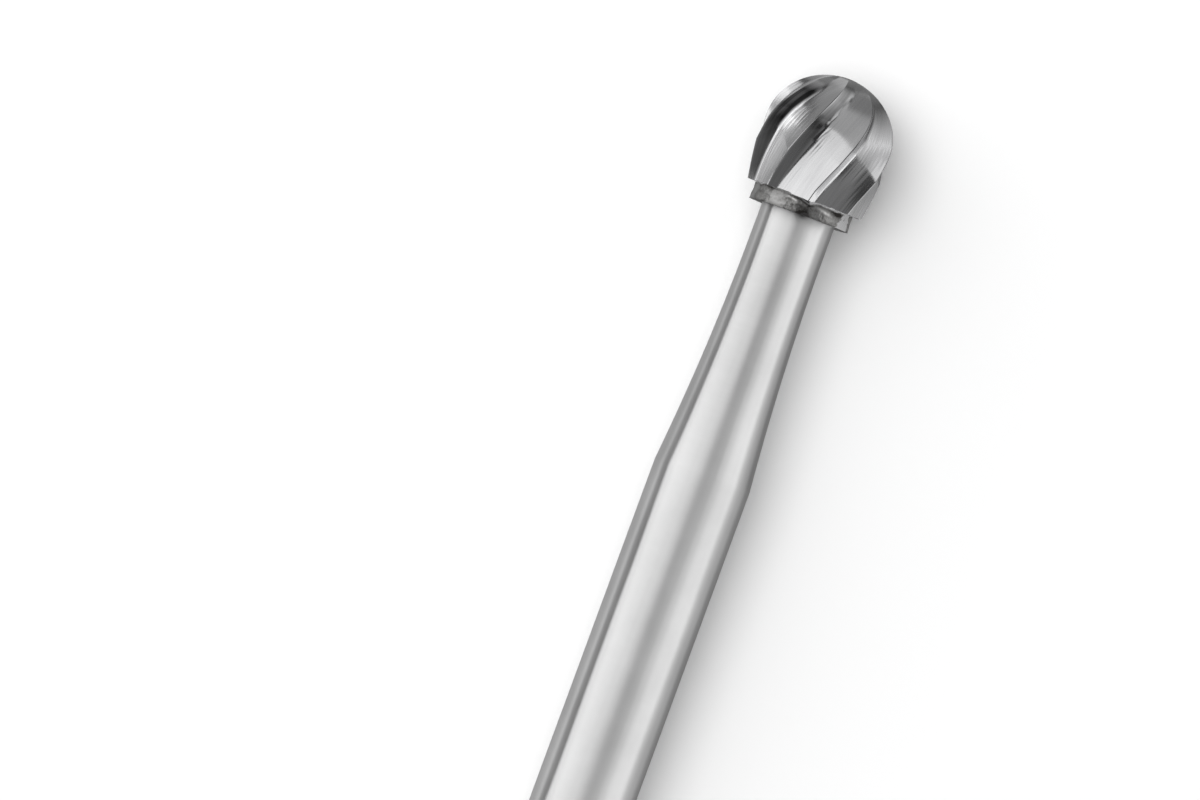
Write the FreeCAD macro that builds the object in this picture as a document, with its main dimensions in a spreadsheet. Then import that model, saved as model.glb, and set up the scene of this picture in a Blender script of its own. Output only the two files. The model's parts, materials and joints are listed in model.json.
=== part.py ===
import FreeCAD, Part
import math
import os

import Sketcher

# A round surgical bur: a fluted carbide ball, the brazed joint behind it, and a steel shank that
# narrows to a neck. Each piece is drawn about the X axis, with the shank's rear face at x = 0 and
# the tip of the ball at x = overall_length. All three then share one placement, which lays the
# bur down on two of its blades and the rear rim of its shank.

# Driving sizes, in millimetres, degrees or counts
SIZES = (
    ("overall_length", "44.5", "rear face of the shank to the tip of the ball"),
    ("shank_diameter", "2.35", "cylinder that the handpiece grips"),
    ("rear_chamfer", "0.3", "chamfer round the rear end"),
    ("flare_length", "5.79", "from the full shank down to the neck"),
    ("neck_diameter", "1.79", "straight neck behind the joint"),
    ("neck_length", "0.63", "straight neck behind the joint"),
    ("collar_diameter", "2.43", "brazed joint, at its two rims"),
    ("collar_length", "0.43", "brazed joint along the axis"),
    ("collar_waist", "0.012", "how far the joint's side sinks between its rims"),
    ("ground_depth", "0.022", "how deep the flute wheel bites into the joint"),
    ("ground_lead", "14", "angle from a blade's edge to the wheel's mark on the joint"),
    ("head_diameter", "3.2", "ball over its blades"),
    ("belt_length", "0.45", "straight belt behind the ball's dome"),
    ("taper_length", "0.89", "back taper behind the belt"),
    ("taper_angle", "12.5", "slope of the back taper"),
    ("blade_count", "8", "blades round the ball"),
    ("blade_lead", "24", "length of one full turn of a blade"),
    ("flute_depth", "0.27", "below the edges, at the belt"),
    ("base_flute_depth", "0.17", "below the edges, at the flat base"),
    ("rake_angle", "40", "lean of the face below each edge"),
    ("land_width", "0.035", "strip left on top of each blade"),
    ("root_radius", "0.07", "rounding at the bottom of a flute, at full depth"),
    ("tip_angle", "11", "from the pole to where the flutes begin"),
)

# Where a flute's section is drawn: at an angle from the pole that lies just ahead of the flute, at
# angles on the dome, and at shares of the back taper, the last one behind the flat base
LEAD_IN_STATION = 5
DOME_STATIONS = (15, 23, 34, 48, 67, 90)
TAPER_STATIONS = (0, 0.5, 1, 1.25)

# How far cutting shapes reach past what they cut, and how fast the flutes reach their full depth
OVERREACH = 0.16
LEAD_IN_SPREAD = 1.3
RUN_OUT_POWER = 6

document = FreeCAD.newDocument("surgical_bur")


def make_sheet():
    """Spreadsheet of the driving sizes: name, value and meaning on each row."""
    table = document.addObject("Spreadsheet::Sheet", "Sizes")
    for row, (name, number, meaning) in enumerate(SIZES, start=1):
        table.set(f"A{row}", name)
        table.set(f"B{row}", number)
        table.setAlias(f"B{row}", name)
        table.set(f"C{row}", meaning)
    document.recompute()
    return table


sheet = make_sheet()

# Formulas that several pieces share
HEAD_RADIUS = "Sizes.head_diameter / 2"
SHANK_RADIUS = "Sizes.shank_diameter / 2"
NECK_RADIUS = "Sizes.neck_diameter / 2"
COLLAR_RADIUS = "Sizes.collar_diameter / 2"
BELT_END = f"({HEAD_RADIUS} + Sizes.belt_length)"
HEAD_LENGTH = f"({BELT_END} + Sizes.taper_length)"
HEAD_BASE = f"(Sizes.overall_length - {HEAD_LENGTH})"
COLLAR_REAR = f"({HEAD_BASE} - Sizes.collar_length)"
FLARE_FRONT = f"({COLLAR_REAR} - Sizes.neck_length)"
FLARE_REAR = f"({FLARE_FRONT} - Sizes.flare_length)"
BLADE_PITCH = "(360 / Sizes.blade_count)"
LAND_ANGLE = f"(Sizes.land_width / ({HEAD_RADIUS}) * 180 / pi)"


def value(formula):
    """Number that a formula gives with the sizes as they are."""
    result = sheet.evalExpression(formula)
    return float(getattr(result, "Value", result))


def taper_radius(from_tip):
    """Formula of the ball's radius behind the belt, at a distance from the tip."""
    return f"({HEAD_RADIUS} - (({from_tip}) - {BELT_END}) * tan(Sizes.taper_angle))"


def blade_angle(from_tip):
    """Formula of a blade's angle round the axis, none where the belt ends."""
    return f"({BELT_END} - ({from_tip})) * 360 / Sizes.blade_lead"


def new_body(name):
    """Empty body of one piece, with its label."""
    body = document.addObject("PartDesign::Body", name)
    body.Label = name
    return body


def origin_feature(body, role):
    """Origin plane or axis of a body, found by its role."""
    return next(item for item in body.Origin.OriginFeatures if item.Role == role)


def new_sketch(body, name, role):
    """Empty sketch on one of the body's origin planes."""
    sketch = body.newObject("Sketcher::SketchObject", name)
    sketch.AttachmentSupport = [(origin_feature(body, role), "")]
    sketch.MapMode = "FlatFace"
    return sketch


def tie(sketch, formula, kind, *geometry):
    """Add a dimension to a sketch and bind it to a formula."""
    index = sketch.addConstraint(Sketcher.Constraint(kind, *geometry, value(formula)))
    sketch.setExpression(f"Constraints[{index}]", formula)


def tie_point(sketch, geometry, end, across, up):
    """Hold a point at two formulas from the sketch's origin."""
    if across == "0":
        sketch.addConstraint(Sketcher.Constraint("PointOnObject", geometry, end, -2))
    else:
        tie(sketch, across, "DistanceX", -1, 1, geometry, end)
    if up == "0":
        sketch.addConstraint(Sketcher.Constraint("PointOnObject", geometry, end, -1))
    else:
        tie(sketch, up, "DistanceY", -1, 1, geometry, end)


def arc_between(start, finish, radius, bulge):
    """Arc from start to finish: bulge 1 turns left on the way, -1 turns right."""
    chord = finish - start
    rise = math.sqrt(max(radius ** 2 - (chord.Length / 2) ** 2, 0.0))
    inward = FreeCAD.Vector(-chord.y, chord.x, 0).normalize() * bulge
    centre = (start + finish) / 2 + inward * rise
    first, last = (start, finish) if bulge > 0 else (finish, start)
    angles = [math.atan2(point.y - centre.y, point.x - centre.x) for point in (first, last)]
    if angles[1] < angles[0]:
        angles[1] += 2 * math.pi
    return Part.ArcOfCircle(Part.Circle(centre, FreeCAD.Vector(0, 0, 1), radius), *angles)


def closed_outline(sketch, corners, bends):
    """Outline through corners given as pairs of formulas, anticlockwise.

    bends holds, by the number of the corner that a side leaves, the radius formula of a side that
    is an arc and its bulge: 1 for a round that stands out, -1 for a hollow.
    """
    points = [FreeCAD.Vector(value(across), value(up), 0) for across, up in corners]
    ends = []
    for number, start in enumerate(points):
        finish = points[(number + 1) % len(points)]
        if number in bends:
            radius, bulge = bends[number]
            side = sketch.addGeometry(arc_between(start, finish, value(radius), bulge))
            ends.append((side, 1, 2) if bulge > 0 else (side, 2, 1))
        else:
            side = sketch.addGeometry(Part.LineSegment(start, finish))
            ends.append((side, 1, 2))
    for number, (side, first, last) in enumerate(ends):
        following, following_first, _ = ends[(number + 1) % len(ends)]
        joint = Sketcher.Constraint("Coincident", side, last, following, following_first)
        sketch.addConstraint(joint)
        tie_point(sketch, side, first, *corners[number])
    for number, (radius, _) in bends.items():
        tie(sketch, radius, "Radius", ends[number][0])


def revolve(body, sketch, name):
    """Turn a half outline right round the X axis."""
    turned = body.newObject("PartDesign::Revolution", name)
    turned.Profile = sketch
    turned.ReferenceAxis = (sketch, ["H_Axis"])
    turned.Angle = 360
    body.Tip = turned
    sketch.Visibility = False
    return turned


def repeat_round(body, feature, name):
    """Repeat a cut once for each blade."""
    pattern = body.newObject("PartDesign::PolarPattern", name)
    pattern.Originals = [feature]
    pattern.Axis = (origin_feature(body, "X_Axis"), [""])
    pattern.Angle = 360
    pattern.setExpression("Occurrences", "Sizes.blade_count")
    body.Tip = pattern
    return pattern


def loft_cut(body, sections, name):
    """Cut away the smooth shape that runs through several sections."""
    cut = body.newObject("PartDesign::SubtractiveLoft", name)
    cut.Profile = sections[0]
    cut.Sections = sections[1:]
    cut.Ruled = False
    body.Tip = cut
    return cut


# Shank: rear chamfer, gripped cylinder, hollow flare that runs tangent into the neck, flat front
def make_shank():
    """Steel shank, turned in one piece with its neck."""
    body = new_body("shank")
    outline = new_sketch(body, "shank_outline", "XY_Plane")
    flare_rise = f"({SHANK_RADIUS} - {NECK_RADIUS})"
    flare_radius = f"(Sizes.flare_length ^ 2 + {flare_rise} ^ 2) / (2 * {flare_rise})"
    corners = (
        ("0", "0"),
        (COLLAR_REAR, "0"),
        (COLLAR_REAR, NECK_RADIUS),
        (FLARE_FRONT, NECK_RADIUS),
        (FLARE_REAR, SHANK_RADIUS),
        ("Sizes.rear_chamfer", SHANK_RADIUS),
        ("0", f"{SHANK_RADIUS} - Sizes.rear_chamfer"),
    )
    closed_outline(outline, corners, {3: (flare_radius, -1)})
    revolve(body, outline, "shank_turning")
    return body


# Brazed joint: a short collar with a faint waist, and the marks of the wheel that cut the flutes
def make_collar():
    """Brazed joint between the ball's flat base and the end of the neck."""
    body = new_body("braze_collar")
    outline = new_sketch(body, "collar_outline", "XY_Plane")
    waist_radius = "((Sizes.collar_length / 2) ^ 2 + Sizes.collar_waist ^ 2) / (2 * Sizes.collar_waist)"
    corners = (
        (COLLAR_REAR, "0"),
        (HEAD_BASE, "0"),
        (HEAD_BASE, COLLAR_RADIUS),
        (COLLAR_REAR, COLLAR_RADIUS),
    )
    closed_outline(outline, corners, {2: (waist_radius, -1)})
    revolve(body, outline, "collar_turning")
    front = mark_section(body, "mark_front", f"{HEAD_LENGTH} - {OVERREACH}")
    rear = mark_section(body, "mark_rear", f"{HEAD_LENGTH} + Sizes.collar_length + {OVERREACH}")
    mark = loft_cut(body, [front, rear], "wheel_mark")
    repeat_round(body, mark, "wheel_marks")
    return body


def turn_section(sketch, from_tip, lead):
    """Carry a section along the axis to a distance from the tip and turn it with the blades."""
    station = f"Sizes.overall_length - ({from_tip})"
    turn = f"{blade_angle(from_tip)} + {lead}"
    sketch.AttachmentOffset = FreeCAD.Placement(
        FreeCAD.Vector(0, 0, value(station)),
        FreeCAD.Rotation(FreeCAD.Vector(0, 0, 1), value(turn)),
    )
    sketch.setExpression("AttachmentOffset.Base.z", station)
    sketch.setExpression("AttachmentOffset.Rotation.Angle", turn)


def mark_section(body, name, from_tip):
    """Rectangle that planes a narrow flat on the collar."""
    sketch = new_sketch(body, name, "YZ_Plane")
    half_width = f"{COLLAR_RADIUS} / 2"
    floor = f"{COLLAR_RADIUS} - Sizes.ground_depth"
    top = f"{COLLAR_RADIUS} + {OVERREACH}"
    corners = (
        (f"-{half_width}", floor),
        (half_width, floor),
        (half_width, top),
        (f"-{half_width}", top),
    )
    closed_outline(sketch, corners, {})
    turn_section(sketch, from_tip, "Sizes.ground_lead")
    return sketch


def flute_section(body, name, from_tip, edge_radius, root_radius):
    """Section of one flute, square to the axis, with the blade's edge at the top.

    It is a vee: the rake face leans from the edge down to the root, the flat back of the next
    blade rises from there to that blade's land, and an arc outside the ball closes it.
    """
    sketch = new_sketch(body, name, "YZ_Plane")
    root_across = f"-({edge_radius} - {root_radius}) * tan(Sizes.rake_angle)"
    back_angle = f"({BLADE_PITCH} - {LAND_ANGLE})"
    back_across = f"-{edge_radius} * sin({back_angle})"
    back_up = f"{edge_radius} * cos({back_angle})"
    rounding = f"Sizes.root_radius * ({edge_radius} - {root_radius}) / Sizes.flute_depth"
    outside = f"{edge_radius} + {OVERREACH}"

    edge = FreeCAD.Vector(0, value(edge_radius), 0)
    root = FreeCAD.Vector(value(root_across), value(root_radius), 0)
    back = FreeCAD.Vector(value(back_across), value(back_up), 0)
    rake_way = (edge - root).normalize()
    back_way = (back - root).normalize()
    radius = value(rounding)
    half_opening = rake_way.getAngle(back_way) / 2
    tangent_length = radius / math.tan(half_opening)
    rake_foot = root + rake_way * tangent_length
    back_foot = root + back_way * tangent_length
    rake_top = reach_circle(root, rake_way, value(outside))
    back_top = reach_circle(root, back_way, value(outside))

    rake_line = sketch.addGeometry(Part.LineSegment(rake_top, rake_foot))
    back_line = sketch.addGeometry(Part.LineSegment(back_foot, back_top))
    root_arc = sketch.addGeometry(arc_between(back_foot, rake_foot, radius, 1))
    rim_arc = sketch.addGeometry(arc_between(rake_top, back_top, value(outside), 1))
    edge_point = sketch.addGeometry(Part.Point(edge), True)
    root_point = sketch.addGeometry(Part.Point(root), True)
    back_point = sketch.addGeometry(Part.Point(back), True)

    tie_point(sketch, edge_point, 1, "0", edge_radius)
    tie_point(sketch, root_point, 1, root_across, root_radius)
    tie_point(sketch, back_point, 1, back_across, back_up)
    sketch.addConstraint(Sketcher.Constraint("PointOnObject", edge_point, 1, rake_line))
    sketch.addConstraint(Sketcher.Constraint("PointOnObject", root_point, 1, rake_line))
    sketch.addConstraint(Sketcher.Constraint("PointOnObject", root_point, 1, back_line))
    sketch.addConstraint(Sketcher.Constraint("PointOnObject", back_point, 1, back_line))
    sketch.addConstraint(Sketcher.Constraint("Tangent", back_line, 1, root_arc, 1))
    sketch.addConstraint(Sketcher.Constraint("Tangent", rake_line, 2, root_arc, 2))
    sketch.addConstraint(Sketcher.Constraint("Coincident", rim_arc, 3, -1, 1))
    sketch.addConstraint(Sketcher.Constraint("Coincident", rake_line, 1, rim_arc, 1))
    sketch.addConstraint(Sketcher.Constraint("Coincident", back_line, 2, rim_arc, 2))
    tie(sketch, rounding, "Radius", root_arc)
    tie(sketch, outside, "Radius", rim_arc)
    turn_section(sketch, from_tip, "0")
    return sketch


def reach_circle(start, way, radius):
    """Point where a line from start leaves a circle about the axis."""
    along = start.dot(way)
    return start + way * (math.sqrt(along ** 2 + radius ** 2 - start.dot(start)) - along)


def dome_station(angle):
    """Formulas of a flute's root on the dome, at an angle from the pole.

    They give its distance from the tip, its distance ahead of the dome's centre and its radius.
    The flute is level with the dome at the tip angle and sinks to its full depth at the belt.
    """
    fade = f"(1 - (cos({angle}) / cos(Sizes.tip_angle)) ^ {RUN_OUT_POWER})"
    root_reach = f"({HEAD_RADIUS} - Sizes.flute_depth * {fade})"
    ahead_of_centre = f"({root_reach} * cos({angle}))"
    return f"({HEAD_RADIUS} - {ahead_of_centre})", ahead_of_centre, f"({root_reach} * sin({angle}))"


def flute_sections(body):
    """Sections of one flute from ahead of the tip to behind the flat base."""
    from_tip, _, root_radius = dome_station(LEAD_IN_STATION)
    sections = [(from_tip, f"({root_radius} * {LEAD_IN_SPREAD})", root_radius)]
    for angle in DOME_STATIONS:
        from_tip, ahead_of_centre, root_radius = dome_station(angle)
        edge_radius = f"sqrt(({HEAD_RADIUS}) ^ 2 - {ahead_of_centre} ^ 2)"
        sections.append((from_tip, edge_radius, root_radius))
    for share in TAPER_STATIONS:
        from_tip = f"({BELT_END} + {share} * Sizes.taper_length)"
        depth = f"(Sizes.flute_depth + {share} * (Sizes.base_flute_depth - Sizes.flute_depth))"
        edge_radius = taper_radius(from_tip)
        sections.append((from_tip, edge_radius, f"({edge_radius} - {depth})"))
    return [flute_section(body, f"flute_{i}", *section) for i, section in enumerate(sections)]


# Ball: a dome, a short belt and a back taper, with one flute cut through it and repeated
def make_head():
    """Carbide ball with its helical blades."""
    body = new_body("cutting_head")
    outline = new_sketch(body, "ball_outline", "XY_Plane")
    corners = (
        (HEAD_BASE, "0"),
        ("Sizes.overall_length", "0"),
        (f"Sizes.overall_length - {HEAD_RADIUS}", HEAD_RADIUS),
        (f"Sizes.overall_length - {BELT_END}", HEAD_RADIUS),
        (HEAD_BASE, taper_radius(HEAD_LENGTH)),
    )
    closed_outline(outline, corners, {1: (HEAD_RADIUS, 1)})
    revolve(body, outline, "ball_turning")
    flute = loft_cut(body, flute_sections(body), "flute")
    repeat_round(body, flute, "flutes")
    return body


# Rest: the bur lies on two neighbouring blades and on the rear rim of its shank. REST_STEPS counts
# points down a blade, REST_ROUNDS halvings of an angle, and REST_TURNS passes over both angles.
REST_STEPS = 400
REST_ROUNDS = 40
REST_TURNS = 4


def envelope_radius(from_tip):
    """Radius of the ball over its blades, at a distance from the tip."""
    radius = value(HEAD_RADIUS)
    if from_tip < radius:
        return math.sqrt(radius ** 2 - (radius - from_tip) ** 2)
    behind_belt = max(from_tip - value(BELT_END), 0.0)
    return radius - behind_belt * math.tan(math.radians(value("Sizes.taper_angle")))


def blade_top():
    """Points down the top of a blade: distance from the tip, radius and angle round the axis."""
    head_length = value(HEAD_LENGTH)
    belt_end = value(BELT_END)
    turn = 2 * math.pi / value("Sizes.blade_lead")
    distances = [head_length * step / REST_STEPS for step in range(1, REST_STEPS + 1)]
    return [(far, envelope_radius(far), (belt_end - far) * turn) for far in distances]


def reach_below(blade, angle, tilt):
    """How far a blade reaches below the tip's level, its belt end turned by an angle from down."""
    return max(
        radius * math.cos(angle + twist) * math.cos(tilt) + far * math.sin(tilt)
        for far, radius, twist in blade
    )


def rest_placement():
    """Placement that lays the bur on the floor, with its box's bottom centre at the origin.

    The roll makes two neighbouring blades reach equally low, and the tilt brings the rear rim of
    the shank down to the same floor. Each is found by halving, in turn, a few times over.
    """
    blade = blade_top()
    pitch = math.radians(value(BLADE_PITCH))
    land = math.radians(value(LAND_ANGLE))
    length = value("Sizes.overall_length")
    chamfer = value("Sizes.rear_chamfer")
    shank_radius = value(SHANK_RADIUS)
    head_radius = value(HEAD_RADIUS)
    tilt = 0.0
    for _ in range(REST_TURNS):
        low, high = 0.0, pitch
        for _ in range(REST_ROUNDS):
            roll = (low + high) / 2
            if reach_below(blade, roll - land, tilt) > reach_below(blade, roll - pitch, tilt):
                low = roll
            else:
                high = roll
        tip_height = reach_below(blade, roll - pitch, tilt)
        low, high = 0.0, pitch
        for _ in range(REST_ROUNDS):
            tilt = (low + high) / 2
            rim_reach = shank_radius * math.cos(tilt) + (length - chamfer) * math.sin(tilt)
            if rim_reach < tip_height:
                low = tilt
            else:
                high = tilt
    front = (length - head_radius) * math.cos(tilt) + head_radius
    rear = -(shank_radius - chamfer) * math.sin(tilt)
    height = tip_height - length * math.sin(tilt)
    lean = FreeCAD.Rotation(FreeCAD.Vector(0, 1, 0), -math.degrees(tilt))
    turn = FreeCAD.Rotation(FreeCAD.Vector(1, 0, 0), 180 + math.degrees(roll))
    return FreeCAD.Placement(FreeCAD.Vector(-(front + rear) / 2, 0, height), lean * turn)


pieces = [make_shank(), make_collar(), make_head()]
resting = rest_placement()
for piece in pieces:
    piece.Placement = resting
document.recompute()

failed = [item.Name for item in document.Objects if {"Invalid", "Error"} & set(item.State)]
if failed:
    raise RuntimeError(f"failed to build: {failed}")
for piece in pieces:
    if piece.Shape.isNull() or not piece.Shape.isValid():
        raise RuntimeError(f"no valid solid: {piece.Label}")
    cuts = [item for item in piece.Group if item.TypeId == "PartDesign::SubtractiveLoft"]
    for cut in cuts:
        if not piece.Shape.Volume < cut.Shape.Volume < cut.BaseFeature.Shape.Volume:
            raise RuntimeError(f"cuts nothing: {cut.Name}")

os.makedirs("parts", exist_ok=True)
for piece in pieces:
    piece.Shape.exportStep(f"parts/{piece.Label}.step")
    print(piece.Label, round(piece.Shape.Volume, 4), "mm3")
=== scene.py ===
"""Looks of a round surgical bur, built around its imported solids.

The bur lies on two of its blades and the rear rim of its shank. Every surface here is worked out
with numpy in the bur's own coordinates (distance behind the tip, radius, angle round the axis) and
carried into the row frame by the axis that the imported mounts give. Lengths are in millimetres
until a mesh is written, and in metres in Blender. Angles round the bur run from straight up
towards the right, for someone above who sees the tip at the top.
"""

import json
import logging
import math
from dataclasses import dataclass, field
from enum import Enum

import bpy
import numpy as np
from mathutils import Matrix, Vector

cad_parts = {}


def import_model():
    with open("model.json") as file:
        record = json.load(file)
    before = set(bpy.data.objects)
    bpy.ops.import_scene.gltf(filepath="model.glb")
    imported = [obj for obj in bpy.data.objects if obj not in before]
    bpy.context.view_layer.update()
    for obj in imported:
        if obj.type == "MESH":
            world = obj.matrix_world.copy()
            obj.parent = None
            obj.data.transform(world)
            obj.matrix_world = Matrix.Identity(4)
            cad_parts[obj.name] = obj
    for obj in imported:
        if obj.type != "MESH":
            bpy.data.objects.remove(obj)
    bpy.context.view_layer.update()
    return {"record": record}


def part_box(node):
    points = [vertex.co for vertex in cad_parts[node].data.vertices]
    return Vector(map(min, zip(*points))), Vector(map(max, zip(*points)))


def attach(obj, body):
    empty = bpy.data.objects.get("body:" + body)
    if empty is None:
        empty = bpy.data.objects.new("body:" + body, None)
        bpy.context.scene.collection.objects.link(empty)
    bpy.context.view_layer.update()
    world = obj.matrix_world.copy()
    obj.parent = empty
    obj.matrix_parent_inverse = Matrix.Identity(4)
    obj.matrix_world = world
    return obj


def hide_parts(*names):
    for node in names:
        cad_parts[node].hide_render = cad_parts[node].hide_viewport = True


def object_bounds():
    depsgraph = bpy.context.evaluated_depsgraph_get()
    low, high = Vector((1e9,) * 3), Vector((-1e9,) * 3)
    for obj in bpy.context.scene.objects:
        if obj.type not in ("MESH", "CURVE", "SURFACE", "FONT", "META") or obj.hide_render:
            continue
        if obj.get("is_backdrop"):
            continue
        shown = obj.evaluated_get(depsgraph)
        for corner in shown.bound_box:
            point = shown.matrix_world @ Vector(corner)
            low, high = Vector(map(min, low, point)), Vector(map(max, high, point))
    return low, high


Array = np.ndarray
Socket = bpy.types.NodeSocket
Span = tuple[float, float]
Color = tuple[float, float, float]
Hump = tuple[float, float, float]

LOG = logging.getLogger("surgical_bur")
MM = 0.001
BODY = "root"
UV_MAP = "skin"
FRAME = (1200, 800)
WHITE = (1.0, 1.0, 1.0, 1.0)


class Piece(Enum):
    """The three pieces of the bur, by the names of their objects."""

    HEAD = "fluted_ball"
    COLLAR = "brazed_collar"
    SHANK = "steel_shank"


@dataclass(frozen=True)
class BurAxis:
    """Where the bur lies in the row frame.

    Attributes:
        rear: Centre of the shank's rear face, in millimetres.
        forward: Unit vector along the axis, towards the tip.
        upward: Unit vector square to the axis, nearest to straight up.
        length: Rear face to tip, in millimetres.
    """

    rear: Array
    forward: Array
    upward: Array
    length: float

    @property
    def rightward(self) -> Array:
        """Unit vector to the right, for someone above who sees the tip at the top."""
        return np.cross(self.forward, self.upward)

    def place(self, from_tip: Array, radius: Array, angle: Array) -> Array:
        """Carry points into the row frame.

        A point is the tip, moved back along the axis by from_tip and outward by radius at the
        angle.

        Args:
            from_tip: Distances behind the tip, in millimetres.
            radius: Distances from the axis, in millimetres.
            angle: Angles round the axis, in radians.

        Returns:
            Points in millimetres, with one more axis than the inputs.
        """
        along = (self.length - from_tip)[..., None] * self.forward
        up = (radius * np.cos(angle))[..., None] * self.upward
        right = (radius * np.sin(angle))[..., None] * self.rightward
        return self.rear + along + up + right

    @classmethod
    def from_record(cls, record: dict) -> "BurAxis":
        """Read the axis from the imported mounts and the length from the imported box.

        Args:
            record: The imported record.

        Returns:
            The axis of the resting bur.
        """
        mounts = {mount["name"]: mount for mount in record["mounts"]}
        rear = np.array(mounts["rear_face"]["pos_m"]) / MM
        forward = -np.array(mounts["rear_face"]["axis"])
        forward /= np.linalg.norm(forward)
        upward = np.array([0.0, 0.0, 1.0])
        upward -= upward.dot(forward) * forward
        upward /= np.linalg.norm(upward)
        tip = np.array(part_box("cutting_head")[1]) / MM
        return cls(rear, forward, upward, (tip[0] - rear[0]) / forward[0])


def link(thing: bpy.types.Object) -> None:
    """Put an object into the scene."""
    bpy.context.scene.collection.objects.link(thing)


def run_along(points: Array) -> Array:
    """Distances along a line of points, from nothing at the first: its steps' lengths, added up."""
    return np.concatenate([[0], np.cumsum(np.linalg.norm(np.diff(points, axis=0), axis=1))])


def fade_out(beyond: Array, soft: float) -> Array:
    """One well before a border and nothing well beyond it, along an S-shaped curve."""
    return 1 / (1 + np.exp(beyond / soft))


def away_from(middle: float, angle: Array) -> Array:
    """Shortest way round from a middle, in degrees, to angles in radians."""
    return (np.degrees(angle) - middle + 180) % 360 - 180


def add_humps(line: Array, angle: Array, humps: tuple[Hump, ...]) -> Array:
    """Add bell curves to a line that runs round the axis.

    Args:
        line: Heights of the line.
        angle: Angles of its points, in radians.
        humps: Middle and width in degrees, and height, of each curve.

    Returns:
        The raised line.
    """
    for middle, width, height in humps:
        line = line + height * np.exp(-(away_from(middle, angle) / width) ** 2)
    return line


def mottle(rows: int, columns: int, cells: tuple[int, int], octaves: int, seed: int) -> Array:
    """Smooth random relief on a grid that closes on itself along its columns.

    Random numbers on a coarse net are joined by smooth steps, and nets of half the cell and half
    the height are added to it.

    Args:
        rows: Rows of the grid.
        columns: Columns of the grid.
        cells: Cells of the coarsest net, along the rows and round the columns.
        octaves: How many nets are added.
        seed: Seed of the random numbers.

    Returns:
        Heights, mostly from -1 to 1, shape (rows, columns).
    """
    total = np.zeros((rows, columns))
    random = np.random.default_rng(seed)
    for octave in range(octaves):
        high, wide = cells[0] * 2 ** octave, cells[1] * 2 ** octave
        net = random.uniform(-1, 1, (high + 2, wide))
        down = np.linspace(0, high, rows)
        over = np.arange(columns) * wide / columns
        i, j = down.astype(int), over.astype(int)
        s, t = down - i, over - j
        s, t = (s * s * (3 - 2 * s))[:, None], (t * t * (3 - 2 * t))[None]
        after = (j + 1) % wide
        upper = net[i][:, j] * (1 - t) + net[i][:, after] * t
        lower = net[i + 1][:, j] * (1 - t) + net[i + 1][:, after] * t
        total += (upper * (1 - s) + lower * s) / 2 ** octave
    return total


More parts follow.
